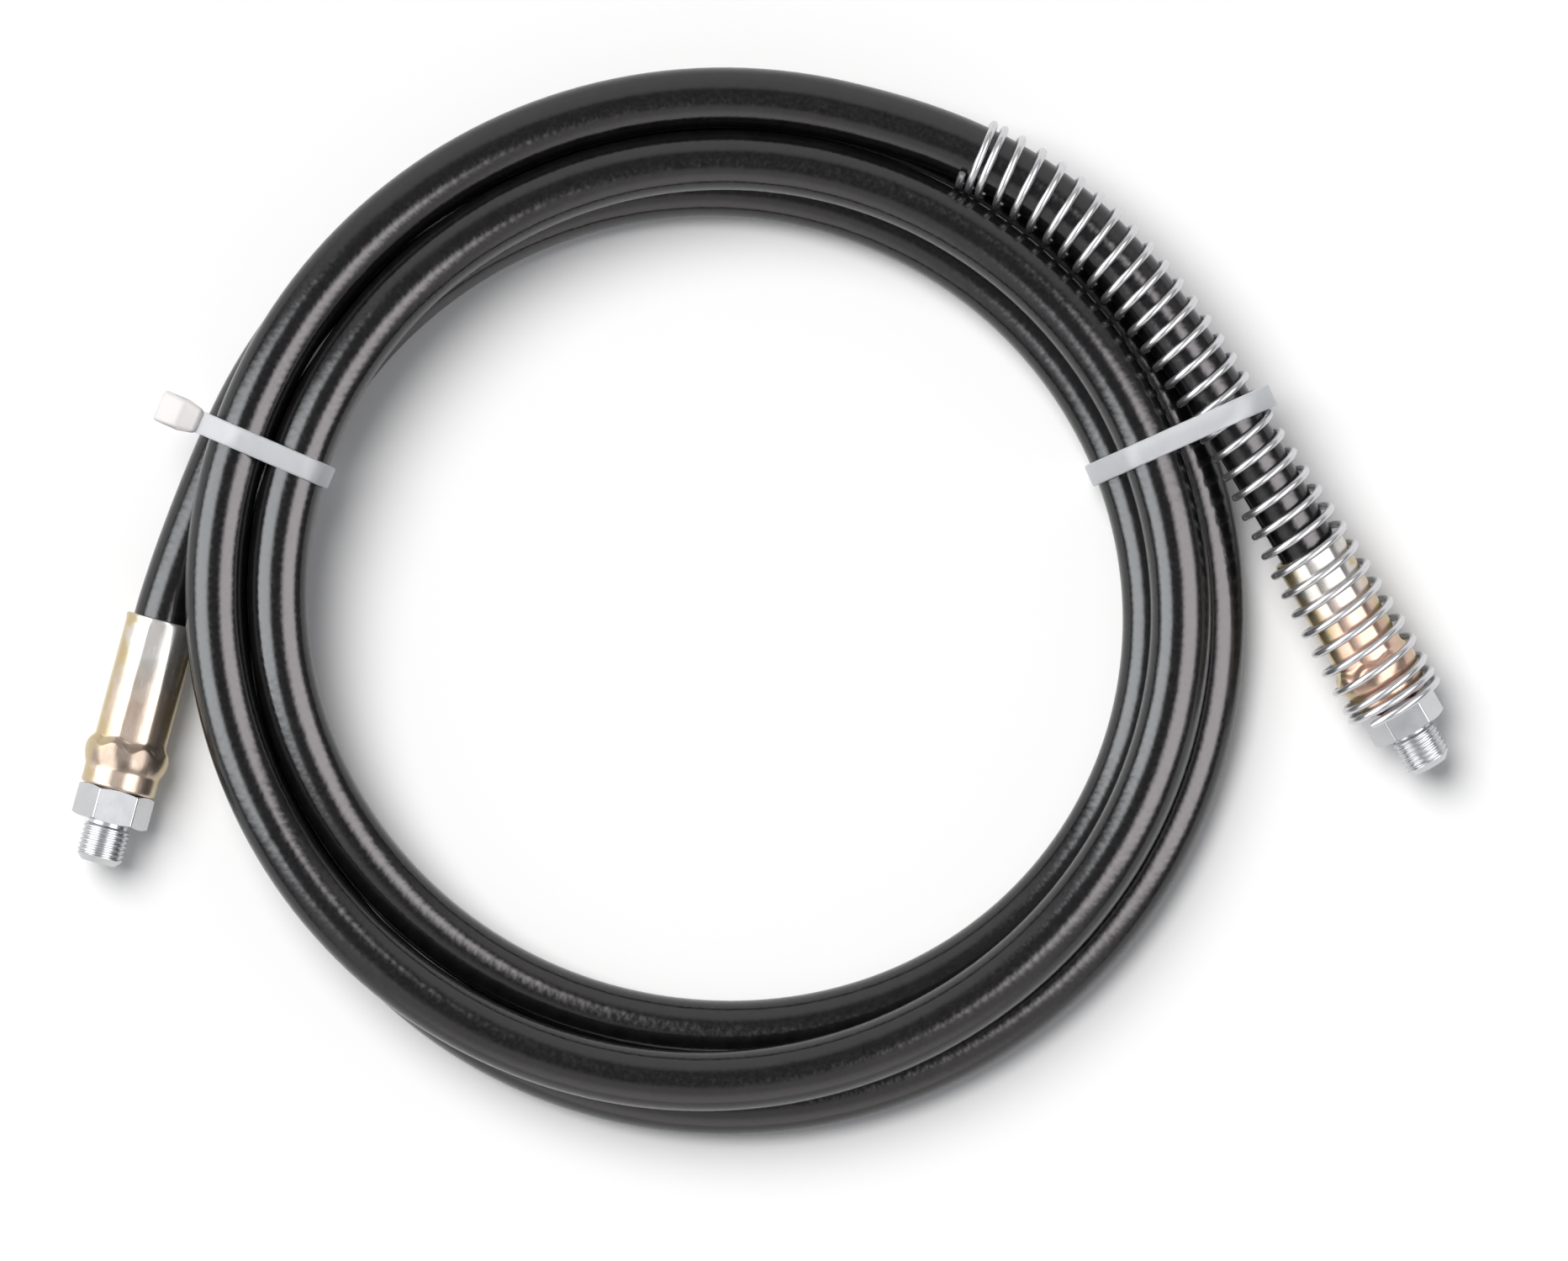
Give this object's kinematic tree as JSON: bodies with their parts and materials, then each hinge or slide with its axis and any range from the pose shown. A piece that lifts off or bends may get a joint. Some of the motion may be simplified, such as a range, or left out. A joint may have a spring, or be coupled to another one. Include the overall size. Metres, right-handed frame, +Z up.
{
  "type": "hydraulic hose assembly",
  "caption": "Coiled two-wire-braid hydraulic hose with a crimped male pipe-thread fitting on each end, a wire guard spring over one end and cable ties round the coil.",
  "frame": {"origin": "middle of the bounding box, on the surface that the coil lies on", "axes": "+Z up, out of the surface; +X from fitting A on the left to fitting B on the right; +Y towards the back of the coil"},
  "size_m": [0.3837, 0.295, 0.0383],
  "materials": {
    "cover_rubber": "smooth, glossy black hose cover",
    "inner_rubber": "matt black inner tube and friction layer",
    "braid_steel": "brass-coated high-tensile wire braid",
    "ferrule_steel": "zinc plated and yellow passivated",
    "insert_steel": "bright zinc plated",
    "spring_wire": "bright drawn wire",
    "tie_nylon": "milky translucent natural nylon"
  },
  "bodies": {
    "root": {"hose_cover": "cover_rubber", "outer_wire_braid": "braid_steel", "friction_layer": "inner_rubber", "inner_wire_braid": "braid_steel", "inner_tube": "inner_rubber", "ferrule_a": "ferrule_steel", "ferrule_b": "ferrule_steel", "fitting_insert_a": "insert_steel", "fitting_insert_b": "insert_steel", "guard_spring": "spring_wire", "cable_tie_a": "tie_nylon", "cable_tie_b": "tie_nylon"}
  },
  "joints": []
}
